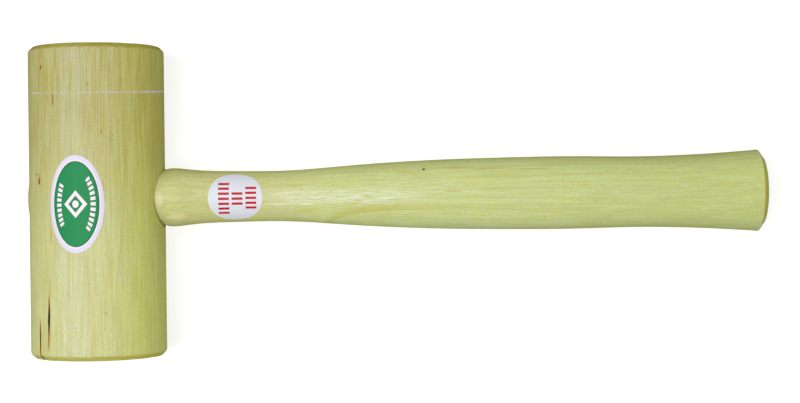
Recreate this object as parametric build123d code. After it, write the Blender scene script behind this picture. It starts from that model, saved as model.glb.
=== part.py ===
from build123d import *

# Round-headed wooden mallet: a turned head, a turned handle whose tenon passes right through the head's
# eye, the hardwood wedge that spreads the tenon, and two paper labels.
#
# Millimetres. The mallet lies on its side on a bench. X runs along the handle from the head to the butt,
# Y along the head's axis, and Z up. The origin is on the bench, under the point where the handle's axis
# crosses the head's axis. Shapes are drawn about that crossing point and lifted as the last step.

import os
from math import cos, pi, sin

# Head: a plain cylinder with broken edges.
HEAD_DIAMETER = 63.5
HEAD_LENGTH = 146.0
EYE_OFFSET = 1.7  # the eye is bored this far from the head's middle, towards its +Y face
FACE_CHAMFER = 2.2
FACE_EDGE_RADIUS = 0.8

# Joint: the handle's shoulder stops in a counterbored seat, and its tenon fills the eye behind it.
TENON_DIAMETER = 19.05
TENON_END_X = -31.1
FLARE_LENGTH = 20.0
FLARE_SPREAD = 1.6  # the wedge makes the tenon's end this much wider along the head
GLUE_LINE = 0.02  # all round the tenon
SEAT_DIAMETER = 26.9
SEAT_X = 26.0
SHOULDER_DIAMETER = 26.6
SHOULDER_CHAMFER = 0.5

# Wedge, and the kerf sawn for it in the tenon.
WEDGE_THICK_END = 3.6
WEDGE_THIN_END = 1.2
WEDGE_LENGTH = 26.0
KERF_BEYOND_WEDGE = 7.0

# Handle outline as (distance along X, radius): bead, neck, swelling grip, waist and flared butt.
HANDLE_OUTLINE = [
    (32.0, 13.3),
    (36.3, 13.7),
    (41.8, 13.45),
    (46.4, 12.8),
    (62.5, 12.15),
    (86.7, 11.9),
    (104.8, 12.95),
    (148.0, 15.8),
    (181.5, 16.8),
    (228.0, 17.15),
    (255.0, 16.75),
    (286.3, 17.55),
    (312.5, 19.3),
]
BUTT_X = 315.0
BUTT_FACE_RADIUS = 15.6

# Paper labels.
PAPER = 0.12
OVAL_WIDTH = 26.4  # measured round the head
OVAL_LENGTH = 44.7
OVAL_CENTRE_Y = -2.7
OVAL_TURN = 8.6  # degrees round the head from its top, away from the handle
DISC_DIAMETER = 25.4
DISC_CENTRE_X = 66.2
DISC_TURN = 2.0  # degrees round the neck from its top, towards -Y
NECK_RADIUS = 12.1  # of the handle under the round label
OUTLINE_POINTS = 24

# Worked out from the driving dimensions.
HEAD_RADIUS = HEAD_DIAMETER / 2
HEAD_TOP_Y = HEAD_LENGTH / 2 - EYE_OFFSET
HEAD_BOTTOM_Y = HEAD_TOP_Y - HEAD_LENGTH
TENON_RADIUS = TENON_DIAMETER / 2
FLARE_X = TENON_END_X + FLARE_LENGTH
WEDGE_TIP_X = TENON_END_X + WEDGE_LENGTH
KERF_END_X = WEDGE_TIP_X + KERF_BEYOND_WEDGE


def head_body(growth=0.0):
    """Head with no eye. Growth makes it thicker all round, to shape what is stuck on it."""
    radius = HEAD_RADIUS + growth
    outline = make_face(
        Polyline(
            (0, HEAD_BOTTOM_Y),
            (radius - FACE_CHAMFER, HEAD_BOTTOM_Y),
            (radius, HEAD_BOTTOM_Y + FACE_CHAMFER),
            (radius, HEAD_TOP_Y - FACE_CHAMFER),
            (radius - FACE_CHAMFER, HEAD_TOP_Y),
            (0, HEAD_TOP_Y),
            close=True,
        )
    )
    rim = outline.vertices().filter_by(lambda corner: corner.X > HEAD_RADIUS / 2)
    return revolve(fillet(rim, FACE_EDGE_RADIUS), Axis.Y)


def tenon(growth=0.0):
    """Round tenon from the seat to the far side of the head, where the wedge has spread it to an oval."""
    radius = TENON_RADIUS + growth
    spread_end = Plane.YZ.offset(TENON_END_X) * Ellipse(radius + FLARE_SPREAD / 2, radius)
    flare_start = Plane.YZ.offset(FLARE_X) * Circle(radius)
    return loft([spread_end, flare_start]) + extrude(flare_start, SEAT_X - FLARE_X)


def eye():
    """Hole through the head: room for the tenon, run on through the far side, and the seat."""
    past_surface = HEAD_RADIUS / 4
    radius = TENON_RADIUS + GLUE_LINE
    far_end = Plane.YZ.offset(TENON_END_X) * Ellipse(radius + FLARE_SPREAD / 2, radius)
    seat = Plane.YZ.offset(SEAT_X) * Circle(SEAT_DIAMETER / 2)
    return tenon(GLUE_LINE) + extrude(far_end, -past_surface) + extrude(seat, past_surface)


def head():
    return head_body() - eye()


def handle_body(growth=0.0):
    """Handle outside its tenon. Growth makes it thicker, to shape what is stuck on it."""
    side_points = [(x, radius + growth) for x, radius in HANDLE_OUTLINE]
    shoulder = SHOULDER_DIAMETER / 2 + growth
    side = Spline(*side_points)
    rest = Polyline(
        side_points[-1],
        (BUTT_X, BUTT_FACE_RADIUS + growth),
        (BUTT_X, 0),
        (SEAT_X, 0),
        (SEAT_X, shoulder - SHOULDER_CHAMFER),
        (SEAT_X + SHOULDER_CHAMFER, shoulder),
        side_points[0],
    )
    return revolve(make_face(side + rest), Axis.X)


def through_tenon(*outline):
    """Bar of the given outline in the XY plane, wider than the tenon along Z."""
    return extrude(make_face(Polyline(*outline, close=True)), TENON_DIAMETER, both=True)


def kerf():
    """Slot sawn in the tenon: opened by the wedge as far as its tip, then a narrow slit."""
    thick, thin = WEDGE_THICK_END / 2, WEDGE_THIN_END / 2
    return through_tenon(
        (TENON_END_X, thick),
        (TENON_END_X, -thick),
        (WEDGE_TIP_X, -thin),
        (KERF_END_X, -thin),
        (KERF_END_X, thin),
        (WEDGE_TIP_X, thin),
    )


def handle():
    return handle_body() + tenon() - kerf()


def wedge():
    thick, thin = WEDGE_THICK_END / 2, WEDGE_THIN_END / 2
    taper = through_tenon(
        (TENON_END_X, thick),
        (TENON_END_X, -thick),
        (WEDGE_TIP_X, -thin),
        (WEDGE_TIP_X, thin),
    )
    return taper & tenon()


def label_column(along, around, radius):
    """Upright column that cuts an oval of those two diameters, measured on paper wrapped at that radius."""
    points = []
    for i in range(OUTLINE_POINTS):
        angle = 2 * pi * i / OUTLINE_POINTS
        wrap = around / 2 * sin(angle) / radius
        points.append((along / 2 * cos(angle), radius * sin(wrap)))
    return extrude(make_face(Spline(*points, periodic=True)), 2 * HEAD_DIAMETER)


def head_label():
    """Oval label, long way along the head, wrapped round its side."""
    column = Rot(0, -OVAL_TURN, 0) * Rot(0, 0, 90) * label_column(OVAL_LENGTH, OVAL_WIDTH, HEAD_RADIUS)
    return (head_body(PAPER) - head_body()) & (Pos(0, OVAL_CENTRE_Y, 0) * column)


def handle_label():
    """Round label wrapped round the handle's neck."""
    column = Rot(DISC_TURN, 0, 0) * label_column(DISC_DIAMETER, DISC_DIAMETER, NECK_RADIUS)
    return (handle_body(PAPER) - handle_body()) & (Pos(DISC_CENTRE_X, 0, 0) * column)


PARTS = {
    "head": head,
    "handle": handle,
    "wedge": wedge,
    "head_label": head_label,
    "handle_label": handle_label,
}

os.makedirs("parts", exist_ok=True)
for name, make in PARTS.items():
    shape = Pos(0, 0, HEAD_RADIUS) * make()
    export_step(shape, f"parts/{name}.step")
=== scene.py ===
"""Looks of the wooden mallet, built in Blender 4.5 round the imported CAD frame."""

import math

import bmesh
import bpy
import numpy as np
from mathutils import Matrix, Vector, noise
from mathutils.geometry import delaunay_2d_cdt


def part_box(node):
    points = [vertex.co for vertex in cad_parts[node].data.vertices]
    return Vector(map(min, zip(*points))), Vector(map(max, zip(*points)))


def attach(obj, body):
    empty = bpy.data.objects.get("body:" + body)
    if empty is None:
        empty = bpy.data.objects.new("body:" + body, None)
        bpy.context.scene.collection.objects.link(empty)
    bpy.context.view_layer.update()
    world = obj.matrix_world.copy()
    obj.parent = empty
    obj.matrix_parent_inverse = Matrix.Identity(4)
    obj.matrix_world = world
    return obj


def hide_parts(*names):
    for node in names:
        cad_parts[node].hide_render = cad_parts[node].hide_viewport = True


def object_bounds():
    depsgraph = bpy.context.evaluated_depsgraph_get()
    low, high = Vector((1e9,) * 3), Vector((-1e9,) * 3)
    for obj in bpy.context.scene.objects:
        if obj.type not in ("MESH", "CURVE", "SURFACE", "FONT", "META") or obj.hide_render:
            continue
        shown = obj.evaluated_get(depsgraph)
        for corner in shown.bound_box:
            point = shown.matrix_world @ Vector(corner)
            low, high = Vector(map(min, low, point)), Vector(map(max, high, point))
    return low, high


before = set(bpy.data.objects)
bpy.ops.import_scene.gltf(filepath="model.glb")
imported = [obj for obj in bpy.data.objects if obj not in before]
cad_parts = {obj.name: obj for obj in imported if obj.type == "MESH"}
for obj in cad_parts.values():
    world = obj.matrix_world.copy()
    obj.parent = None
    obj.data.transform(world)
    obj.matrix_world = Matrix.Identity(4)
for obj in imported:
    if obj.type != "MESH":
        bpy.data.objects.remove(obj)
cad_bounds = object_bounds()

# Shapes are drawn in millimetres from the point where the handle's axis crosses the head's axis: X along
# the handle from the head to the butt, Y along the head, Z up. in_frame() then puts them in the frame.
MM = 0.001
head_low, head_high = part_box("head")
AXIS_HEIGHT = (head_low.z + head_high.z) / 2
CORE_RADIUS = 1.0  # of the smallest ring on a flat end
CLEAR = 1.0  # cutters stand this far out of the surface that they cut


def cad_box(node):
    """Lowest and highest corner of a CAD node in drawing millimetres."""
    lift = Vector((0, 0, AXIS_HEIGHT))
    return [(corner - lift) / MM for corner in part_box(node)]


def cad_points(node):
    """Corners of a CAD node's mesh in drawing millimetres, as an array of rows."""
    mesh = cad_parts[node].data
    flat = np.empty(3 * len(mesh.vertices))
    mesh.vertices.foreach_get("co", flat)
    return (flat.reshape(-1, 3) - [0, 0, AXIS_HEIGHT]) / MM


# Sizes read from the frame.
HEAD_BOX = cad_box("head")
HANDLE_BOX = cad_box("handle")
WEDGE_BOX = cad_box("wedge")
OVAL_BOX = cad_box("head_label")
DISC_BOX = cad_box("handle_label")
HEAD_RADIUS = HEAD_BOX[1].x
FAR_FACE_Y = HEAD_BOX[0].y
NEAR_FACE_Y = HEAD_BOX[1].y
TENON_END_X = HANDLE_BOX[0].x
TENON_RADIUS = WEDGE_BOX[1].z
BUTT_X = HANDLE_BOX[1].x
RIM_RADIUS = HANDLE_BOX[1].y

# Head: broken edges, and the shallow dents that its rims have had.
FACE_CHAMFER = 2.2
FACE_EDGE_RADIUS = 0.8
SIDE_EDGE_RADIUS = 1.8
HEAD_TURNS = 288
HEAD_STEP = 2.4
RIM_DENT = 0.35
DENT_CROWDING = 3.1  # more puts more dents round a rim
DENT_THRESHOLD = 0.1  # more leaves fewer of them

# Joint, with the CAD's sizes and slightly rounded edges.
FLARE_LENGTH = 20.0
FLARE_SPREAD = 1.6  # the wedge makes the tenon's end this much wider along the head
GLUE_LINE = 0.02
SEAT_X = 26.0
SEAT_RADIUS = 13.45
SHOULDER_RADIUS = 13.3
SHOULDER_EDGE = 0.5
SHOULDER_FILLET = 0.1
BEAD_X = 32.0
TENON_EDGE_RADIUS = 0.45
TENON_STEP = 3.0
KERF_BEYOND_WEDGE = 7.0

# Handle.
BUTT_BEVEL = 2.5
BUTT_FACE_RADIUS = 15.6
BUTT_EDGE_RADIUS = 0.5
HANDLE_TURNS = 216
HANDLE_STEP = 1.6
BUTT_STEP = 2.5
SIDE_SAMPLES = 400
SIDE_DEGREE = 16  # of the polynomial through the samples
TOUCH = 0.01  # corners this close together count as level

# Drying cracks in the head. Each has its angle round the head and its Y at the start and the end, its
# greatest width and depth, and how far along it that comes. Angles are in degrees from the top, minus
# away from the handle.
CRACKS = [
    {"angles": (-35.0, -36.7), "ys": (-42.0, -69.0), "width": 1.7, "depth": 11.0, "widest": 0.49},
    {"angles": (-47.7, -48.0), "ys": (-54.5, -75.2), "width": 1.15, "depth": 9.0, "widest": 0.5},
    {"angles": (-47.0, -45.2), "ys": (-71.4, -75.6), "width": 2.3, "depth": 4.5, "widest": 0.45},
]
CRACK_STEPS = 26
CRACK_TAPER = 1.7  # more makes the ends finer
CRACK_THINNEST = 0.03  # share of the full width that the ends keep
CRACK_WAVER = 0.25  # degrees

# Pinhole in the handle.
PINHOLE_X = 154.5
PINHOLE_ANGLE = 46.4
PINHOLE_RADIUS = 0.75
PINHOLE_DEPTH = 2.5
PINHOLE_TAPER = 0.6  # radius at the bottom, as a share of the radius at the top
PINHOLE_TURNS = 16


# ---------------------------------------------------------------- meshes

def in_frame(points):
    """Drawing points as points of the frame, in metres."""
    return [(x * MM, y * MM, z * MM + AXIS_HEIGHT) for x, y, z in points]


def new_piece(name, points, faces, materials=()):
    """Mesh object from drawing points, with its faces turned outwards."""
    mesh = bpy.data.meshes.new(name)
    mesh.from_pydata(in_frame(points), [], faces)
    shape = bmesh.new()
    shape.from_mesh(mesh)
    bmesh.ops.recalc_face_normals(shape, faces=shape.faces)
    shape.to_mesh(mesh)
    shape.free()
    for material in materials:
        mesh.materials.append(material)
    piece = bpy.data.objects.new(name, mesh)
    bpy.context.scene.collection.objects.link(piece)
    return piece


def skin(rings):
    """Points and faces of a closed skin over rings of equal length, with a centre point at each end."""
    turns = len(rings[0])
    points = [tuple(point) for ring in rings for point in ring]
    faces = []
    for i in range(len(rings) - 1):
        for j in range(turns):
            k = (j + 1) % turns
            faces.append((i * turns + j, i * turns + k, (i + 1) * turns + k, (i + 1) * turns + j))
    for start in (0, (len(rings) - 1) * turns):
        centre = len(points)
        points.append(tuple(np.mean(points[start:start + turns], axis=0)))
        faces += [(centre, start + j, start + (j + 1) % turns) for j in range(turns)]
    return points, faces


def rounded(corners, radii, steps=5):
    """Open outline with each inner corner replaced by an arc of its radius."""
    outline = [corners[0]]
    for before, corner, after, radius in zip(corners, corners[1:], corners[2:], radii):
        corner = Vector(corner)
        back = (Vector(before) - corner).normalized()
        ahead = (Vector(after) - corner).normalized()
        half = back.angle(ahead) / 2
        middle = corner + (back + ahead).normalized() * radius / math.sin(half)
        start = corner + back * radius / math.tan(half) - middle
        sweep = math.pi - 2 * half
        turn = math.copysign(sweep / steps, back.x * ahead.y - back.y * ahead.x)
        for i in range(steps + 1):
            outline.append(tuple(middle + Matrix.Rotation(-turn * i, 2) @ start))
    outline.append(corners[-1])
    return outline


def divided(outline, step):
    """Outline with extra points, so that no stretch is longer than the step."""
    points = [outline[0]]
    for start, end in zip(outline, outline[1:]):
        count = max(1, math.ceil(math.dist(start, end) / step))
        for i in range(1, count + 1):
            points.append(tuple(np.add(start, np.subtract(end, start) * i / count)))
    return points


def carve(piece, *cutters):
    """Cuts closed meshes out of another, and applies the cuts."""
    for cutter in cutters:
        cut = piece.modifiers.new("cut", "BOOLEAN")
        cut.operation = "DIFFERENCE"
        cut.solver = "EXACT"
        cut.object = cutter
        view = bpy.context.evaluated_depsgraph_get()
        piece_now = bpy.data.meshes.new_from_object(piece.evaluated_get(view))
        piece.modifiers.clear()
        piece.data = piece_now
        bpy.data.objects.remove(cutter)


def set_cut_material(cutter, materials):
    """Gives a cutter its piece's materials, and the second of them to every face that it will leave."""
    for material in materials:
        cutter.data.materials.append(material)
    cutter.data.polygons.foreach_set("material_index", [1] * len(cutter.data.polygons))


def smooth(piece, sharp_angle):
    """Shades a piece smoothly, but for edges sharper than the angle in degrees."""
    piece.data.polygons.foreach_set("use_smooth", [True] * len(piece.data.polygons))
    piece.data.set_sharp_from_angle(angle=math.radians(sharp_angle))


def turn_angles(turns):
    """Equal steps once round, in radians."""
    return np.arange(turns) * 2 * math.pi / turns


# ---------------------------------------------------------------- head

def head_ring(y, radius):
    """One ring round the head. Close to a rim it has shallow dents, worn there by use and handling."""
    to_face = min(y - FAR_FACE_Y, NEAR_FACE_Y - y)
    near_rim = max(0.0, 1 - to_face / (2 * FACE_CHAMFER)) * (radius / HEAD_RADIUS) ** 4
    side = 1 if y > 0 else -1
    ring = []
    for angle in turn_angles(HEAD_TURNS):
        round_rim = (DENT_CROWDING * math.cos(angle), DENT_CROWDING * math.sin(angle), 5.0 * side)
        dent = RIM_DENT * near_rim * max(0.0, noise.noise(round_rim) - DENT_THRESHOLD)
        reach = radius - dent
        ring.append((reach * math.sin(angle), y - side * dent / 2, reach * math.cos(angle)))
    return ring


def head_shape(materials):
    """Solid head with no eye: a cylinder with broken edges."""
    inner = HEAD_RADIUS - FACE_CHAMFER
    corners = [
        (FAR_FACE_Y, CORE_RADIUS),
        (FAR_FACE_Y, inner),
        (FAR_FACE_Y + FACE_CHAMFER, HEAD_RADIUS),
        (NEAR_FACE_Y - FACE_CHAMFER, HEAD_RADIUS),
        (NEAR_FACE_Y, inner),
        (NEAR_FACE_Y, CORE_RADIUS),
    ]
    radii = [FACE_EDGE_RADIUS, SIDE_EDGE_RADIUS, SIDE_EDGE_RADIUS, FACE_EDGE_RADIUS]
    outline = divided(rounded(corners, radii), HEAD_STEP)
    points, faces = skin([head_ring(y, radius) for y, radius in outline])
    return new_piece("turned_head", points, faces, materials)


def oval_ring(x, half_width, half_height, turns=96):
    """Ring across the handle's axis, half_width along Y and half_height along Z."""
    return [(x, half_width * math.sin(a), half_height * math.cos(a)) for a in turn_angles(turns)]


def spread(x):
    """How much the wedge has widened the tenon along Y, on each side, at x."""
    return FLARE_SPREAD / 2 * max(0.0, 1 - (x - TENON_END_X) / FLARE_LENGTH)


def eye_cutter():
    """Hole for the tenon and the seat for the shoulder, longer than the head is wide."""
    radius = TENON_RADIUS + GLUE_LINE
    past = HEAD_RADIUS * 1.3
    rings = [
        oval_ring(-past, radius + spread(TENON_END_X), radius),
        oval_ring(TENON_END_X, radius + spread(TENON_END_X), radius),
        oval_ring(TENON_END_X + FLARE_LENGTH, radius, radius),
        oval_ring(SEAT_X, radius, radius),
        oval_ring(SEAT_X, SEAT_RADIUS, SEAT_RADIUS),
        oval_ring(past, SEAT_RADIUS, SEAT_RADIUS),
    ]
    return new_piece("eye_cutter", *skin(rings))


def crack_cutter(angles, ys, width, depth, widest):
    """Long V-shaped sliver, widest partway along, that opens a drying crack along the grain."""
    rings = []
    for i in range(CRACK_STEPS + 1):
        share = i / CRACK_STEPS
        before = min(share / widest, 1.0)
        after = min((1 - share) / (1 - widest), 1.0)
        rise = before * after
        opening = max(CRACK_THINNEST, (rise * rise * (3 - 2 * rise)) ** CRACK_TAPER)
        y = ys[0] + (ys[1] - ys[0]) * share
        waver = CRACK_WAVER * noise.noise((0.0, y * 0.35, 10.0 * widest))
        angle = math.radians(angles[0] + (angles[1] - angles[0]) * share + waver)
        half = width / 2 * opening / HEAD_RADIUS
        top = HEAD_RADIUS + CLEAR
        bottom = HEAD_RADIUS - depth * math.sqrt(opening)
        ring = [(angle - half, top), (angle + half, top), (angle, bottom)]
        rings.append([(r * math.sin(a), y, r * math.cos(a)) for a, r in ring])
    return new_piece("crack_cutter", *skin(rings))


def make_head(materials):
    """Turned head with its eye and its cracks. The second material is for the insides of the cracks."""
    head = head_shape(materials)
    cracks = [crack_cutter(**crack) for crack in CRACKS]
    for cutter in cracks:
        set_cut_material(cutter, materials)
    carve(head, eye_cutter(), *cracks)
    smooth(head, sharp_angle=35)
    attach(head, "root")
    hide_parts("head")


# ---------------------------------------------------------------- handle

def side_curve():
    """Radius of the handle against x from bead to rim: one smooth curve through the CAD mesh's corners."""
    points = cad_points("handle")
    points = points[np.argsort(points[:, 0])]
    radii = np.hypot(points[:, 1], points[:, 2])
    rim_x = BUTT_X - BUTT_BEVEL
    outside = (points[:, 0] > BEAD_X - TOUCH) & (points[:, 0] < rim_x + TOUCH)
    even_xs = np.linspace(BEAD_X, rim_x, SIDE_SAMPLES)
    even_radii = np.interp(even_xs, points[outside, 0], radii[outside])
    return np.polynomial.Chebyshev.fit(even_xs, even_radii, SIDE_DEGREE)


SIDE_RADIUS = side_curve()


def handle_ring(x, radius):
    """One ring round the handle, oval where the wedge has spread the tenon."""
    wide = radius * (1 + spread(x) / TENON_RADIUS) if x < SEAT_X else radius
    return oval_ring(x, wide, radius, HANDLE_TURNS)


def handle_shape(materials):
    """Solid handle: tenon, shoulder and bead, the long smooth side, and the bevelled butt."""
    rim_x = BUTT_X - BUTT_BEVEL
    tenon = rounded(
        [
            (TENON_END_X, CORE_RADIUS),
            (TENON_END_X, TENON_RADIUS),
            (SEAT_X, TENON_RADIUS),
            (SEAT_X, SHOULDER_RADIUS),
            (BEAD_X, float(SIDE_RADIUS(BEAD_X))),
        ],
        [TENON_EDGE_RADIUS, SHOULDER_FILLET, SHOULDER_EDGE],
    )
    count = round((rim_x - BEAD_X) / HANDLE_STEP)
    side_xs = np.linspace(BEAD_X, rim_x - 2 * BUTT_EDGE_RADIUS, count)[1:]
    side = [(x, float(SIDE_RADIUS(x))) for x in side_xs]
    butt = rounded(
        [side[-1], (rim_x, RIM_RADIUS), (BUTT_X, BUTT_FACE_RADIUS), (BUTT_X, CORE_RADIUS)],
        [BUTT_EDGE_RADIUS, BUTT_EDGE_RADIUS],
    )
    outline = divided(tenon, TENON_STEP) + side[:-1] + divided(butt, BUTT_STEP)
    points, faces = skin([handle_ring(x, radius) for x, radius in outline])
    return new_piece("turned_handle", points, faces, materials)


def kerf_cutter():
    """Saw slot that holds the wedge, and its narrow end beyond the wedge's tip."""
    wedge = cad_points("wedge")
    thick = WEDGE_BOX[1].y
    tip_x = WEDGE_BOX[1].x
    thin = wedge[wedge[:, 0] > tip_x - TOUCH, 1].max()
    half_sections = [
        (TENON_END_X - CLEAR, thick),
        (TENON_END_X, thick),
        (tip_x, thin),
        (tip_x + KERF_BEYOND_WEDGE, thin),
    ]
    reach = 1.5 * TENON_RADIUS
    rings = [
        [(x, half, reach), (x, -half, reach), (x, -half, -reach), (x, half, -reach)]
        for x, half in half_sections
    ]
    return new_piece("kerf_cutter", *skin(rings))


def pinhole_cutter():
    """Small round hole drilled square to the handle's side."""
    angle = math.radians(PINHOLE_ANGLE)
    outward = Vector((0, math.sin(angle), math.cos(angle)))
    around = Vector((0, math.cos(angle), -math.sin(angle)))
    surface = float(SIDE_RADIUS(PINHOLE_X))
    rings = []
    for depth, radius in [(-CLEAR, PINHOLE_RADIUS), (PINHOLE_DEPTH, PINHOLE_TAPER * PINHOLE_RADIUS)]:
        centre = Vector((PINHOLE_X, 0, 0)) + outward * (surface - depth)
        rings.append([
            centre + radius * (math.cos(a) * Vector((1, 0, 0)) + math.sin(a) * around)
            for a in turn_angles(PINHOLE_TURNS)
        ])
    return new_piece("pinhole_cutter", *skin(rings))


def make_handle(materials):
    """Turned handle with its kerf and its pinhole. The second material is for the inside of the pinhole."""
    handle = handle_shape(materials)
    hole = pinhole_cutter()
    set_cut_material(hole, materials)
    carve(handle, kerf_cutter(), hole)
    smooth(handle, sharp_angle=35)
    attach(handle, "root")
    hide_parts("handle")


# ---------------------------------------------------------------- labels

PAPER = 0.12
PAPER_SINK = 0.03  # the paper's underside is pressed this far into the finish
GRID_SHARE = 0.96  # of the outline's size: inner mesh points keep clear of the outline


def ellipse(length, width, count=120):
    """Closed loop of (along, around) points."""
    return [(length * math.cos(a), width * math.sin(a)) for a in turn_angles(count)]


def arc_block(length, width, thickness, start, end):
    """Block that follows an ellipse from one angle to another, in degrees."""
    angles = np.radians(np.linspace(start, end, 4))
    outer = [(length * math.cos(a), width * math.sin(a)) for a in angles]
    inner_length, inner_width = length - thickness, width - thickness
    inner = [(inner_length * math.cos(a), inner_width * math.sin(a)) for a in reversed(angles)]
    return outer + inner


def bar(along, around, length, width):
    """Rectangle about a middle point."""
    half_length, half_width = length / 2, width / 2
    return [
        (along - half_length, around - half_width),
        (along + half_length, around - half_width),
        (along + half_length, around + half_width),
        (along - half_length, around + half_width),
    ]


def lozenge(length, width):
    """Upright diamond, by its half-length and half-width."""
    return [(length, 0), (0, width), (-length, 0), (0, -width)]


def anticlockwise(loop):
    """The loop, turned round if it runs clockwise."""
    doubled_area = sum(a[0] * b[1] - b[0] * a[1] for a, b in zip(loop, loop[1:] + loop[:1]))
    return loop if doubled_area > 0 else loop[::-1]


def make_label(name, edge, prints, wrap, materials, grid_gap):
    """Thin closed sheet of paper wrapped on wood. edge is its outline. prints are (loop, material number),
    each on top of those before it, and they colour the upper face. wrap puts a flat point on the wood, and
    grid_gap is the spacing of the mesh points inside the outline."""
    loops = [edge] + [loop for loop, _ in prints]
    inks = [0] + [ink for _, ink in prints]
    flat = []
    borders = []
    for loop in loops:
        borders.append(list(range(len(flat), len(flat) + len(loop))))
        flat += [Vector(point) for point in anticlockwise(loop)]
    long_side = max(point[0] for point in edge)
    short_side = max(point[1] for point in edge)
    for along in np.arange(-long_side, long_side, grid_gap):
        for around in np.arange(-short_side, short_side, grid_gap):
            if math.hypot(along / long_side, around / short_side) < GRID_SHARE:
                flat.append(Vector((along, around)))
    inside_only = 1
    corners, _, triangles, _, _, parents = delaunay_2d_cdt(flat, [], borders, inside_only, 1e-4)
    top = [wrap(x, y, PAPER) for x, y in corners]
    bottom = [wrap(x, y, -PAPER_SINK) for x, y in corners]
    count = len(corners)
    faces = [tuple(face) for face in triangles]
    face_inks = [inks[max(owners)] for owners in parents]
    edges = [(a, b) for face in triangles for a, b in zip(face, face[1:] + face[:1])]
    shared = {(b, a) for a, b in edges}
    rim = [(a, b) for a, b in edges if (a, b) not in shared]
    faces += [tuple(count + corner for corner in reversed(face)) for face in triangles]
    faces += [(b, a, count + a, count + b) for a, b in rim]
    label = new_piece(name, top + bottom, faces, materials)
    face_inks += [0] * (len(faces) - len(face_inks))
    label.data.polygons.foreach_set("material_index", face_inks)
    smooth(label, sharp_angle=40)
    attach(label, "root")
    return label


def oval_wrap():
    """Puts flat oval-label points on the head: along is Y, around is away from the top towards +X."""
    low, high = OVAL_BOX
    outside = HEAD_RADIUS + PAPER
    middle_angle = (math.asin(low.x / outside) + math.asin(high.x / outside)) / 2
    middle_y = (low.y + high.y) / 2

    def wrap(along, around, height):
        angle = middle_angle + around / HEAD_RADIUS
        radius = HEAD_RADIUS + height
        return radius * math.sin(angle), middle_y + along, radius * math.cos(angle)

    return wrap


def oval_half_sizes():
    """Half-length and half-width of the oval label, measured flat."""
    low, high = OVAL_BOX
    outside = HEAD_RADIUS + PAPER
    width = HEAD_RADIUS * (math.asin(high.x / outside) - math.asin(low.x / outside)) / 2
    return (high.y - low.y) / 2, width


def make_oval_label(papers):
    """Green field with a pale border, a plain lozenge in the middle and a row of blocks on each side."""
    length, width = oval_half_sizes()
    side_border = 2.2
    end_border = 2.7
    white_ring = 0.55
    dark_rim = 0.5
    field = (length - end_border, width - side_border)
    prints = [
        (ellipse(field[0] + white_ring, field[1] + white_ring), 1),
        (ellipse(*field), 2),
        (ellipse(field[0] - dark_rim, field[1] - dark_rim), 3),
        (lozenge(6.3, 5.5), 1),
        (lozenge(4.0, 3.4), 3),
        (ellipse(1.7, 1.5, 24), 1),
    ]
    row = (field[0] - 2.6, field[1] - 1.7)
    block_height = 2.3
    block_share = 0.62  # of each step round the row, the rest is the gap
    for side, first, last, count in [(-1, 55, 131, 9), (1, 42, 141, 11)]:
        step = side * (last - first) / count
        for i in range(count):
            start = side * first + i * step
            prints.append((arc_block(*row, block_height, start, start + block_share * step), 1))
    label = make_label("oval_label", ellipse(length, width), prints, oval_wrap(), papers, grid_gap=0.9)
    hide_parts("head_label")


def make_round_label(papers):
    """Pale disc with three columns of plain red stripes."""
    low, high = DISC_BOX
    middle_x = (low.x + high.x) / 2
    radius = (high.x - low.x) / 2
    neck_radius = float(SIDE_RADIUS(middle_x))
    outside = neck_radius + PAPER
    middle_angle = (math.asin(low.y / outside) + math.asin(high.y / outside)) / 2

    def wrap(along, around, height):
        x = middle_x + along
        reach = float(SIDE_RADIUS(x)) + height
        angle = middle_angle + around / neck_radius
        return x, reach * math.sin(angle), reach * math.cos(angle)

    stripe_length = 5.1
    stripe_width = 1.15
    stripe_gap = 2.35
    prints = []
    for along, count, shift in [(-5.4, 7, -0.6), (0.9, 3, -0.6), (7.3, 5, -0.3)]:
        for i in range(count):
            around = shift + (i - (count - 1) / 2) * stripe_gap
            prints.append((bar(along, around, stripe_length, stripe_width), 1))
    label = make_label("round_label", ellipse(radius, radius), prints, wrap, papers, grid_gap=0.7)
    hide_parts("handle_label")


# ---------------------------------------------------------------- materials

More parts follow.
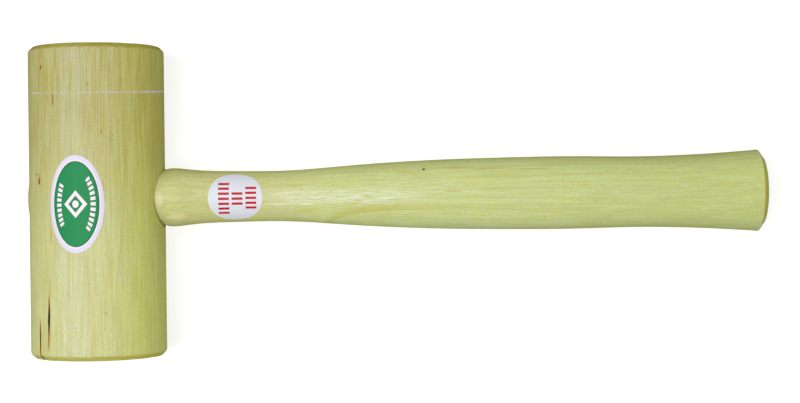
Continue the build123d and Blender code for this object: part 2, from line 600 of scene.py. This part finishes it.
class Shader:
    """One material's node tree, with short calls that add a node and give its output."""

    def __init__(self, name):
        self.material = bpy.data.materials.new(name)
        self.material.use_nodes = True
        self.tree = self.material.node_tree
        self.surface = self.tree.nodes["Principled BSDF"]

    def feed(self, socket, value):
        """Links an output to the socket, or sets a plain value on it."""
        if isinstance(value, bpy.types.NodeSocket):
            self.tree.links.new(value, socket)
        else:
            socket.default_value = value

    def add(self, kind, inputs=None, output=0, **settings):
        """New node with its settings and inputs, by name or number."""
        node = self.tree.nodes.new("ShaderNode" + kind)
        for name, value in settings.items():
            setattr(node, name, value)
        for name, value in (inputs or {}).items():
            self.feed(node.inputs[name], value)
        return node.outputs[output]

    def math(self, operation, *values):
        """Result of an operation on plain values."""
        return self.add("Math", dict(enumerate(values)), operation=operation)

    def vector(self, operation, *values):
        """Result of an operation on vectors: a vector, or a value where the operation measures one."""
        output = "Value" if operation in ("LENGTH", "DISTANCE", "DOT_PRODUCT") else "Vector"
        return self.add("VectorMath", dict(enumerate(values)), output, operation=operation)

    def product(self, value, *factors):
        """All the values multiplied together."""
        for factor in factors:
            value = self.math("MULTIPLY", value, factor)
        return value

    def fade(self, value, start, end):
        """0 at start and 1 at end, with a soft step between."""
        inputs = {"Value": value, "From Min": start, "From Max": end}
        return self.add("MapRange", inputs, interpolation_type="SMOOTHSTEP")

    def band(self, value, start, full, full_end, end):
        """0 up to start, 1 from full to full_end, and 0 again from end, with soft steps between."""
        return self.product(self.fade(value, start, full), self.fade(value, end, full_end))

    def between(self, value, low, high):
        """Straight scale from 0..1 to low..high."""
        return self.math("MULTIPLY_ADD", value, high - low, low)

    def mix(self, share, first, second, blend="MIX"):
        """First colour where share is 0, second where it is 1."""
        inputs = {0: share, 6: first, 7: second}
        return self.add("Mix", inputs, 2, data_type="RGBA", blend_type=blend)

    def tinted(self, share, base, tint):
        """Base colour, multiplied by the tint where share is 1."""
        return self.mix(share, base, tint, "MULTIPLY")

    def noise(self, position, factors, detail=2.0, roughness=0.5, output=0):
        """Noise over a position that is first multiplied by factors. Output 0 is a value, mostly from 0.3 to
        0.7, and output 1 is three of them as a colour."""
        stretched = self.vector("MULTIPLY", position, factors)
        inputs = {"Vector": stretched, "Scale": 1.0, "Detail": detail, "Roughness": roughness}
        return self.add("TexNoise", inputs, output)

    def apart(self, vector):
        """The three parts of a vector."""
        return tuple(self.add("SeparateXYZ", {0: vector}).node.outputs)

    def position(self):
        """Drawing millimetres, from the point where the axes cross."""
        place = self.add("TexCoord", output="Object")
        centred = self.vector("SUBTRACT", place, (0, 0, AXIS_HEIGHT))
        return self.vector("MULTIPLY", centred, (1 / MM, 1 / MM, 1 / MM))

    def set(self, values):
        """Sets plain values or links on the surface shader's inputs, by name."""
        for name, value in values.items():
            self.feed(self.surface.inputs[name], value)


def colour(red, green, blue):
    """sRGB colour from 0 to 255, as the linear colour that a shader takes."""
    linear = []
    for value in (red, green, blue):
        share = value / 255
        linear.append(share / 12.92 if share <= 0.04045 else ((share + 0.055) / 1.055) ** 2.4)
    return (*linear, 1.0)


class Grain:
    """How one timber's grain runs. along is the axis letter that its fibres follow, and pith is a point on
    the tree's middle line. Growth rings are ring_gap apart. The colour starts to change at the distance
    sapwood from the pith and has changed at the distance heartwood. fibre_length is in mm, and contrast is
    the strength of the darker fibres, from 0 to 1."""

    def __init__(self, along, pith, ring_gap, sapwood, heartwood, fibre_length, contrast):
        self.along = "XYZ".index(along)
        self.pith = pith
        self.ring_gap = ring_gap
        self.sapwood = sapwood
        self.heartwood = heartwood
        self.fibre_length = fibre_length
        self.contrast = contrast

    def scale(self, across, along):
        """Multiplier that shrinks a position so that one unit is across mm wide and along mm long."""
        factors = [1 / across] * 3
        factors[self.along] = 1 / along
        return tuple(factors)

    def axis(self):
        """Unit vector along the grain."""
        return tuple(1.0 if i == self.along else 0.0 for i in range(3))

    def across(self):
        """Multiplier that flattens a position onto a plane square to the grain."""
        return tuple(0.0 if i == self.along else 1.0 for i in range(3))


def distance_from_pith(shader, position, grain):
    """How far a point was from the tree's middle line, which wanders a little."""
    slow = shader.noise(position, grain.scale(50, 210), 1.0, output=1)
    quick = shader.noise(position, grain.scale(8, 90), 2.0, output=1)
    sway = shader.vector("MULTIPLY", shader.vector("SUBTRACT", slow, (0.5,) * 3), (11.0,) * 3)
    ripple = shader.vector("MULTIPLY", shader.vector("SUBTRACT", quick, (0.5,) * 3), (1.2,) * 3)
    from_pith = shader.vector("SUBTRACT", position, grain.pith)
    moved = shader.vector("ADD", shader.vector("ADD", from_pith, sway), ripple)
    return shader.vector("LENGTH", shader.vector("MULTIPLY", moved, grain.across()))


def late_wood(shader, distance, grain):
    """Thin darker line at the end of each year's growth, stronger in some years."""
    rings = shader.math("DIVIDE", distance, grain.ring_gap)
    inside = shader.math("FRACT", rings)
    strength = shader.add("TexWhiteNoise", {"W": shader.math("FLOOR", rings)}, noise_dimensions="1D")
    line = shader.product(shader.math("POWER", inside, 4.0), shader.fade(inside, 1.0, 0.9))
    return shader.product(line, shader.between(strength, 0.15, 1.0))


def small_pores(shader, position, grain):
    """1 in small pores drawn out along the grain, which crowd in some places and are missing in others."""
    spots = {"Vector": shader.vector("MULTIPLY", position, grain.scale(0.8, 5.5)), "Scale": 1.0}
    pores = shader.fade(shader.add("TexVoronoi", spots), 0.26, 0.12)
    crowded = shader.fade(shader.noise(position, grain.scale(4, 25)), 0.5, 0.66)
    return shader.product(pores, crowded)


def golden_ends(shader, grain, late, base):
    """The colour made more golden where the surface cuts across the grain, most of all on bevels."""
    normal = shader.add("TexCoord", output="Normal")
    facing = shader.math("ABSOLUTE", shader.vector("DOT_PRODUCT", normal, grain.axis()))
    end_tint = shader.mix(late, colour(246, 240, 192), colour(206, 186, 130))
    base = shader.tinted(shader.fade(facing, 0.3, 0.8), base, end_tint)
    return shader.tinted(shader.band(facing, 0.3, 0.7, 0.85, 0.98), base, (1.0, 0.98, 0.64, 1.0))


def fleck(shader, position, grain, base, centre, size, tint, strength):
    """Paints one soft spot or streak: size is (across, along) half-lengths in mm."""
    offset = shader.vector("SUBTRACT", position, centre)
    reach = shader.vector("LENGTH", shader.vector("MULTIPLY", offset, grain.scale(*size)))
    share = shader.product(shader.fade(reach, 1.0, 0.35), strength)
    return shader.mix(share, base, tint)


def shaded(shader, base, shade):
    """The colour made darker or lighter by a factor near 1."""
    return shader.vector("MULTIPLY", base, shader.add("CombineXYZ", {0: shade, 1: shade, 2: shade}))


def wood(name, grain, tints, flecks=(), marks=()):
    """Lacquered timber: growth rings, fibres, small pores, mottling, ray flecks, golden end grain and
    bevels, and its own flecks and marks.

    tints names the colours of the pale wood, its darker fibres, its broad streaks, its ring lines and its
    pores, and the multiplier that turns sapwood into heartwood. Each of flecks is the last four values
    that fleck() takes. Each of marks is a function that paints over the base colour."""
    shader = Shader(name)
    position = shader.position()
    length = grain.fibre_length
    distance = distance_from_pith(shader, position, grain)
    late = late_wood(shader, distance, grain)
    broad = shader.noise(position, grain.scale(1.7, 5 * length))
    fibre = shader.noise(position, grain.scale(0.5, length), 3.0, 0.6)
    hair = shader.noise(position, grain.scale(0.2, 0.25 * length), 2.0, 0.6)
    mottle = shader.noise(position, grain.scale(6, 16), 3.0, 0.6)

    dark_fibres = shader.product(shader.fade(fibre, 0.38, 0.68), grain.contrast)
    base = shader.mix(dark_fibres, tints["pale"], tints["fibre"])
    base = shader.mix(shader.product(shader.fade(broad, 0.44, 0.72), 0.4), base, tints["streak"])
    base = shader.mix(shader.product(late, 0.5), base, tints["ring"])

    pores = small_pores(shader, position, grain)
    base = shader.mix(shader.product(pores, 0.5), base, tints["pore"])

    shade = shader.math("ADD", shader.between(mottle, -0.09, 0.09), shader.between(hair, 0.93, 1.07))
    base = shaded(shader, base, shade)
    ray_flecks = shader.noise(position, grain.scale(0.6, 1.0), 2.0, output=1)
    tinge = shader.vector("MULTIPLY_ADD", ray_flecks, (0.45, 0.4, 1.4), (0.775, 0.8, 0.3))
    base = shader.vector("MULTIPLY", base, tinge)
    heart = shader.fade(distance, grain.sapwood, grain.heartwood)
    base = shader.tinted(heart, base, tints["heart"])
    base = golden_ends(shader, grain, late, base)

    for spot in flecks:
        base = fleck(shader, position, grain, base, *spot)
    for mark in marks:
        base = mark(shader, position, base)

    height = shader.math("SUBTRACT", shader.math("ADD", fibre, hair), pores)
    bump = shader.add("Bump", {"Height": height, "Strength": 0.25, "Distance": 0.00012})
    shader.set({"Base Color": base, "Normal": bump, "Roughness": shader.between(fibre, 0.46, 0.62)})
    shader.set({"Specular IOR Level": 0.16, "Coat Weight": 0.04, "Coat Roughness": 0.4})
    return shader.material


def on_head(angle, y):
    """Point on the head's side, angle in degrees from the top, minus away from the handle."""
    turn = math.radians(angle)
    return HEAD_RADIUS * math.sin(turn), y, HEAD_RADIUS * math.cos(turn)


def on_handle(x, angle):
    """Point on the handle's side, angle in degrees from the top, towards +Y."""
    turn = math.radians(angle)
    radius = float(SIDE_RADIUS(x))
    return x, radius * math.sin(turn), radius * math.cos(turn)


def head_colour_and_painted_light(shader, position, base):
    """The head's colour: darker and browner from the far face to the near face, a yellower flank by the
    handle painted as the colour of that shaded side, a paler, bluer band along the top painted as the
    lacquer's highlight, and its golden fibres towards the near face."""
    x, y, _ = shader.apart(position)
    tone = shader.mix(shader.fade(y, -50.0, 62.0), (1.0, 1.03, 1.04, 1.0), (0.81, 0.785, 0.745, 1.0))
    base = shader.tinted(1.0, base, tone)
    # painted shade: the flank by the handle, turned from the light, is made yellower
    base = shader.tinted(shader.fade(x, 8.0, 27.0), base, (1.05, 1.07, 0.66, 1.0))
    # painted highlight: a paler, bluer band where the lacquer's sheen lies on the top
    base = shader.tinted(shader.band(x, -18.0, -10.0, -1.0, 8.0), base, (0.98, 0.99, 1.16, 1.0))
    gold = shader.fade(shader.noise(position, (1.8, 0.045, 1.8)), 0.46, 0.66)
    gold = shader.product(gold, shader.fade(y, -20.0, 35.0))
    return shader.tinted(gold, base, (0.90, 0.83, 0.50, 1.0))


# Pale line across the head: its Y at the height of the axes, how much that changes with each millimetre
# up, and its strokes as (start x, end x, added strength).
LINE_Y = 50.2
LINE_SLOPE = -0.0652
STROKES = [
    (-28.0, -21.6, 0.34),
    (-18.6, -8.6, 0.14),
    (-3.0, 0.0, 0.1),
    (0.9, 2.9, 0.3),
    (6.0, 20.0, 0.22),
    (20.4, 24.2, 0.42),
    (24.6, 33.0, 0.75),
]
STROKE_END = 0.8  # half of the length over which a stroke fades at each end
BETWEEN_STROKES = 0.12  # strength of the line where there is no stroke


def pale_line(shader, position, base):
    """Thin straight pale line drawn across the head's upper side in strokes."""
    x, y, z = shader.apart(position)
    line_y = shader.math("MULTIPLY_ADD", z, LINE_SLOPE, LINE_Y)
    off = shader.math("ABSOLUTE", shader.math("SUBTRACT", y, line_y))
    line = shader.product(shader.fade(off, 0.62, 0.22), shader.fade(z, -2.0, 4.0))
    strength = BETWEEN_STROKES
    for start, end, extra in STROKES:
        full, full_end = start + STROKE_END, end - STROKE_END
        stroke = shader.band(x, start - STROKE_END, full, full_end, end + STROKE_END)
        strength = shader.math("MULTIPLY_ADD", stroke, extra, strength)
    broken = shader.fade(shader.noise(position, (0.9, 0.3, 0.9), 1.0), 0.3, 0.6)
    share = shader.product(line, shader.between(broken, 0.45, 1.0), strength)
    return shader.mix(share, base, colour(194, 190, 226))


def painted_seam_shadow(shader, position, base):
    """Painted shadow in the seam under the handle's bead, on its side towards the far face."""
    x, y, _ = shader.apart(position)
    from_handle_axis = shader.vector("LENGTH", shader.vector("MULTIPLY", position, (0, 1, 1)))
    seam = shader.fade(from_handle_axis, SEAT_RADIUS + 1.3, SEAT_RADIUS + 0.3)
    share = shader.product(seam, shader.fade(y, 1.0, -9.0), shader.fade(x, 0.0, SEAT_X), 0.75)
    # dark olive colour of the painted shadow in the seam
    return shader.mix(share, base, colour(84, 72, 26))


def head_wood():
    """Wood of the head, with the brown and grey flecks of its surface and the rusty edges of its cracks."""
    brown = colour(140, 92, 26)
    dark_brown = colour(104, 56, 8)
    red_brown = colour(172, 126, 74)
    grey = colour(118, 116, 100)
    rust = colour(196, 142, 58)
    dark_rust = colour(170, 108, 14)
    flecks = [
        (on_head(-42.7, 60.7), (0.95, 2.0), rust, 0.8),
        (on_head(-42.7, 60.5), (0.7, 1.3), brown, 1.0),
        (on_head(-46.9, 9.0), (1.1, 4.0), rust, 0.8),
        (on_head(-46.9, 8.0), (0.9, 2.3), dark_brown, 1.0),
        (on_head(-51.5, 11.2), (0.7, 0.9), grey, 0.9),
        (on_head(-28.8, 45.3), (0.65, 4.2), red_brown, 1.0),
        (on_head(13.1, 30.3), (0.5, 1.4), red_brown, 0.8),
        (on_head(2.7, 52.0), (0.8, 1.2), grey, 0.4),
        (on_head(-32.0, -17.0), (0.5, 6.0), red_brown, 0.7),
        (on_head(15.3, -52.6), (0.7, 0.7), brown, 0.45),
        (on_head(67.5, -43.8), (1.0, 0.9), colour(228, 156, 60), 1.0),
        (on_head(-33.9, -41.0), (0.6, 6.0), red_brown, 0.45),
        (on_head(-35.6, -51.0), (1.0, 10.0), dark_rust, 0.8),
        (on_head(-36.0, -60.0), (0.85, 8.5), dark_rust, 1.0),
        (on_head(-36.5, -66.0), (0.7, 5.5), dark_rust, 1.0),
        (on_head(-47.8, -62.0), (0.95, 8.5), dark_rust, 1.0),
        (on_head(-48.0, -70.0), (1.0, 7.0), dark_rust, 1.0),
    ]
    grain = Grain(
        along="Y",
        pith=(-10.0, 0.0, -78.0),
        ring_gap=2.0,
        sapwood=106.0,
        heartwood=66.0,
        fibre_length=24.0,
        contrast=0.58,
    )
    tints = {
        "pale": colour(195, 197, 148),
        "fibre": colour(183, 173, 80),
        "streak": colour(184, 179, 102),
        "ring": colour(170, 153, 76),
        "pore": colour(162, 134, 64),
        "heart": (0.76, 0.75, 0.38, 1.0),
    }
    # Of these marks, the first paints a highlight and a shaded flank as well as colour, the last paints a
    # shadow in the seam, and pale_line is a real line.
    return wood("head_wood", grain, tints, flecks, [head_colour_and_painted_light, pale_line, painted_seam_shadow])


# Golden band on the handle. Its border runs level at BAND_Y towards the butt, and falls away towards -Y on
# its way to the head: by BAND_DROP at BAND_TURN_X, and e times as much after each BAND_TURN_LENGTH.
BAND_Y = -7.4
BAND_TURN_X = 114.5
BAND_TURN_LENGTH = 9.0
BAND_DROP = 3.8

CROWN_Y = -0.7  # middle line of the painted sheen and of the handle's crown, which is painted slightly duller


def golden_band(shader, position, base):
    """Golden band of grain that runs out at the neck's side with a crisp curved border."""
    x, y, z = shader.apart(position)
    before_turn = shader.math("DIVIDE", shader.math("SUBTRACT", BAND_TURN_X, x), BAND_TURN_LENGTH)
    fall = shader.math("EXPONENT", before_turn)
    above = shader.math("ADD", y, shader.math("MULTIPLY_ADD", fall, BAND_DROP, -BAND_Y))
    band = shader.product(shader.band(above, -0.2, 0.35, 0.6, 6.0), shader.fade(z, 0.0, 5.0))
    share = shader.product(band, shader.band(x, 88.0, 112.0, 132.0, 172.0), 0.9)
    return shader.tinted(share, base, (0.93, 0.84, 0.56, 1.0))


def painted_sheen(shader, position, base):
    """Painted sheen: pale streaky highlight of the lacquer along the top of the neck."""
    x, y, z = shader.apart(position)
    streaks = shader.noise(position, (0.08, 2.0, 2.0), 3.0, 0.6)
    off_crown = shader.math("ABSOLUTE", shader.math("SUBTRACT", y, CROWN_Y))
    sheen = shader.product(shader.fade(streaks, 0.38, 0.62), shader.fade(off_crown, 5.5, 1.5))
    ends = shader.band(x, 72.0, 92.0, 128.0, 172.0)
    share = shader.product(sheen, shader.fade(z, 0.0, 6.0), ends, 0.5)
    # colour of the painted highlight
    return shader.mix(share, base, colour(230, 234, 222))


def handle_colour_and_painted_light(shader, position, base):
    """The handle's slow changes of colour, with painted light and shade: a crown painted slightly duller and
    sides slightly lighter, sides painted yellower as their shaded colour, warmer towards the head, painted
    shade that makes it duller towards the butt, and darkened by lacquer at the tenon's end."""
    x, y, z = shader.apart(position)
    # painted shade: the crown a little darker and the flanks a little lighter
    off_crown = shader.math("ABSOLUTE", shader.math("SUBTRACT", y, CROWN_Y))
    on_crown = shader.fade(off_crown, 10.0, 1.0)
    base = shader.tinted(1.0, base, shader.mix(on_crown, (1.03, 1.03, 1.03, 1.0), (0.96, 0.95, 0.96, 1.0)))
    # painted shade colour: the sides, turned from the light, are made yellower
    base = shader.tinted(shader.fade(z, 8.0, 1.0), base, (1.01, 1.02, 0.64, 1.0))
    base = shader.tinted(shader.fade(x, 110.0, 60.0), base, (0.98, 0.90, 0.92, 1.0))
    # painted shade: duller towards the butt, where the light falls off
    base = shader.tinted(shader.fade(x, 190.0, 290.0), base, (0.93, 0.94, 0.86, 1.0))
    return shader.tinted(shader.fade(x, -20.0, -26.0), base, (0.72, 0.64, 0.52, 1.0))


def handle_wood():
    """Wood of the handle, with its pores and small specks, and painted glints and highlights."""
    # colour of the painted glints: highlights of the lacquer
    painted_glint = colour(240, 240, 226)
    pore_line = colour(176, 142, 60)
    flecks = [
        (on_handle(210.7, -41.2), (0.5, 0.9), colour(150, 136, 66), 0.6),
        (on_handle(146.0, 42.3), (0.4, 11.0), pore_line, 0.45),
        (on_handle(158.5, 7.0), (0.35, 6.0), pore_line, 0.4),
        (on_handle(168.0, 4.4), (0.35, 7.0), pore_line, 0.45),
        (on_handle(170.0, 47.3), (0.45, 12.0), pore_line, 0.5),
        (on_handle(187.0, 44.2), (0.45, 12.0), pore_line, 0.55),
        (on_handle(204.0, 41.1), (0.45, 11.0), pore_line, 0.5),
        (on_handle(38.5, -42.0), (2.6, 6.0), colour(222, 224, 170), 0.5),
        (on_handle(58.0, -52.0), (0.5, 1.0), colour(214, 160, 60), 0.6),
        # painted highlights: glints of the lacquer along the neck
        (on_handle(136.5, -5.5), (0.45, 9.0), painted_glint, 0.6),
        (on_handle(86.0, -18.0), (0.6, 10.0), painted_glint, 0.4),
        (on_handle(99.5, -19.0), (0.5, 7.0), painted_glint, 0.5),
        # painted highlight on the bead by the head
        (on_handle(30.5, -4.0), (5.5, 3.0), colour(222, 224, 180), 0.5),
    ]
    grain = Grain(
        along="X",
        pith=(0.0, 51.0, -32.0),
        ring_gap=3.2,
        sapwood=66.0,
        heartwood=38.0,
        fibre_length=22.0,
        contrast=0.5,
    )
    tints = {
        "pale": colour(194, 205, 147),
        "fibre": colour(182, 184, 84),
        "streak": colour(186, 190, 110),
        "ring": colour(176, 166, 82),
        "pore": colour(180, 142, 64),
        "heart": (0.93, 0.91, 0.74, 1.0),
    }
    # Of these marks, golden_band is grain, the second paints the lacquer's sheen, and the third paints shade
    # as well as colour.
    return wood("handle_wood", grain, tints, flecks, [golden_band, painted_sheen, handle_colour_and_painted_light])


def wedge_wood():
    """Hard pale timber, planed, with its grain along the wedge."""
    grain = Grain(
        along="X",
        pith=(0.0, 40.0, -30.0),
        ring_gap=1.4,
        sapwood=60.0,
        heartwood=30.0,
        fibre_length=12.0,
        contrast=0.6,
    )
    tints = {
        "pale": colour(178, 170, 112),
        "fibre": colour(156, 144, 84),
        "streak": colour(166, 154, 92),
        "ring": colour(134, 116, 60),
        "pore": colour(134, 110, 54),
        "heart": (0.9, 0.87, 0.7, 1.0),
    }
    return wood("wedge_wood", grain, tints)


def raw_dark(name, tint):
    """Inside of a crack or a hole: torn fibres, dull, with darker ones between."""
    shader = Shader(name)
    torn = shader.noise(shader.position(), (2.5, 0.6, 2.5), 4.0)
    darker = [part / 10 for part in tint[:3]] + [1.0]
    shader.set({"Base Color": shader.mix(torn, tint, darker)})
    shader.set({"Roughness": 0.9, "Specular IOR Level": 0.1})
    return shader.material


def paper(name, tint, variation=0.03, speck=None):
    """Coated label paper: faint cloudy fibres, ink that is uneven by the share variation, and paler specks
    in it of the colour speck, if one is given."""
    shader = Shader(name)
    position = shader.position()
    cloud = shader.noise(position, (0.9,) * 3, 5.0, 0.65)
    fibres = shader.noise(position, (4.0,) * 3, 3.0, 0.7)
    base = shaded(shader, tint[:3], shader.between(cloud, 1 - variation, 1 + variation))
    if speck:
        share = shader.product(shader.fade(fibres, 0.52, 0.74), 0.45)
        base = shader.mix(share, base, speck)
    bump = shader.add("Bump", {"Height": fibres, "Strength": 0.12, "Distance": 0.00005})
    shader.set({"Base Color": base, "Normal": bump, "Roughness": 0.55, "Specular IOR Level": 0.2})
    return shader.material


# ---------------------------------------------------------------- studio

# Metres and degrees here, but for the slope of the floor, which is in radians.
LEAN = math.asin((HEAD_RADIUS - RIM_RADIUS) / (BUTT_X - BUTT_BEVEL))
FLOOR_SIZE = 14.0
FLOOR_GLOW = 0.80
SENSOR_WIDTH = 36.0  # millimetres
CAMERA_RISE = 0.820  # above the mallet's axes
CAMERA_ASIDE = (0.0016, -0.0016)  # from over the middle of the mallet
CAMERA_ROLL = -0.7
VIEW_WIDTH = 0.3793  # width of the view at the height of the axes

# Lights by name, as (place, width, watts, tint), and the point that they all face.
LIGHTS = {
    "overhead": ((-0.20, -0.02, 1.20), 0.7, 11.8, (1.0, 0.99, 0.97)),
    "head_end": ((-0.80, 0.05, 0.90), 0.6, 4.4, (1.0, 0.99, 0.98)),
    "butt_end": ((0.95, 0.0, 0.90), 0.6, 4.4, (1.0, 0.99, 0.97)),
}
LIT_POINT = Vector((0.12, 0.0, AXIS_HEIGHT))

# Strength of the studio's pale surroundings at the horizon and overhead, and how high the second starts,
# where straight up is 1.
HORIZON_GLOW = 0.55
OVERHEAD_GLOW = 1.36
OVERHEAD_FROM = 0.9


def make_floor():
    """Pale glowing floor that touches both the side of the head and the butt's rim."""
    half = FLOOR_SIZE / 2
    corners = [(-half, -half, 0), (half, -half, 0), (half, half, 0), (-half, half, 0)]
    mesh = bpy.data.meshes.new("floor")
    mesh.from_pydata(corners, [], [(0, 1, 2, 3)])
    floor = bpy.data.objects.new("floor", mesh)
    bpy.context.scene.collection.objects.link(floor)
    up = Vector((-math.sin(LEAN), 0, math.cos(LEAN)))
    axes_cross = Vector((0, 0, AXIS_HEIGHT))
    floor.matrix_world = Matrix.Translation(axes_cross - up * AXIS_HEIGHT) @ Matrix.Rotation(-LEAN, 4, "Y")
    shader = Shader("floor_paint")
    cloud = shader.noise(shader.position(), (0.004,) * 3)
    paint = shader.mix(cloud, (0.28, 0.28, 0.28, 1.0), (0.30, 0.30, 0.30, 1.0))
    shader.set({"Base Color": paint, "Roughness": 0.85})
    shader.set({"Emission Color": (1.0, 1.0, 1.0, 1.0), "Emission Strength": FLOOR_GLOW})
    mesh.materials.append(shader.material)
    floor.visible_glossy = False


def make_camera():
    """Camera over the middle of the mallet, looking straight down."""
    middle = (cad_bounds[0] + cad_bounds[1]) / 2
    data = bpy.data.cameras.new("camera")
    data.sensor_width = SENSOR_WIDTH
    data.lens = data.sensor_width * CAMERA_RISE / VIEW_WIDTH
    camera = bpy.data.objects.new("camera", data)
    camera.location = (
        middle.x + CAMERA_ASIDE[0],
        middle.y + CAMERA_ASIDE[1],
        AXIS_HEIGHT + CAMERA_RISE,
    )
    camera.rotation_euler = (0, 0, math.radians(CAMERA_ROLL))
    bpy.context.scene.collection.objects.link(camera)
    bpy.context.scene.camera = camera


def soft_light(name, place, width, watts, tint):
    """Round soft light that faces the mallet."""
    data = bpy.data.lights.new(name, "AREA")
    data.shape = "DISK"
    data.size = width
    data.energy = watts
    data.color = tint
    light = bpy.data.objects.new(name, data)
    light.location = place
    light.rotation_euler = (LIT_POINT - Vector(place)).to_track_quat("-Z", "Y").to_euler()
    bpy.context.scene.collection.objects.link(light)


def make_surroundings():
    """Pale studio all round, brighter towards the top."""
    world = bpy.data.worlds.new("studio")
    world.use_nodes = True
    tree = world.node_tree
    direction = tree.nodes.new("ShaderNodeTexCoord")
    parts = tree.nodes.new("ShaderNodeSeparateXYZ")
    ramp = tree.nodes.new("ShaderNodeMapRange")
    ramp.inputs["From Min"].default_value = 0.0
    ramp.inputs["From Max"].default_value = OVERHEAD_FROM
    ramp.inputs["To Min"].default_value = HORIZON_GLOW
    ramp.inputs["To Max"].default_value = OVERHEAD_GLOW
    tree.links.new(direction.outputs["Generated"], parts.inputs[0])
    tree.links.new(parts.outputs["Z"], ramp.inputs["Value"])
    tree.links.new(ramp.outputs["Result"], tree.nodes["Background"].inputs["Strength"])
    bpy.context.scene.world = world
    bpy.context.scene.view_settings.view_transform = "Standard"


# ---------------------------------------------------------------- assembly

make_camera()
for light_name, light_settings in LIGHTS.items():
    soft_light(light_name, *light_settings)
make_surroundings()
make_floor()

make_head([head_wood(), raw_dark("crack_dark", colour(128, 106, 42))])
make_handle([handle_wood(), raw_dark("hole_dark", colour(112, 140, 134))])
wedge_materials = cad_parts["wedge"].data.materials
wedge_materials.clear()
wedge_materials.append(wedge_wood())

make_oval_label([
    paper("oval_border", colour(208, 204, 226)),
    paper("oval_white", colour(232, 218, 226)),
    paper("oval_rim_green", colour(6, 100, 56), variation=0.08),
    paper("oval_green", colour(12, 128, 72), variation=0.10, speck=colour(52, 142, 92)),
])
make_round_label([
    paper("round_white", colour(208, 213, 222)),
    paper("stripe_red", colour(184, 24, 42), variation=0.08),
])

bpy.context.view_layer.update()
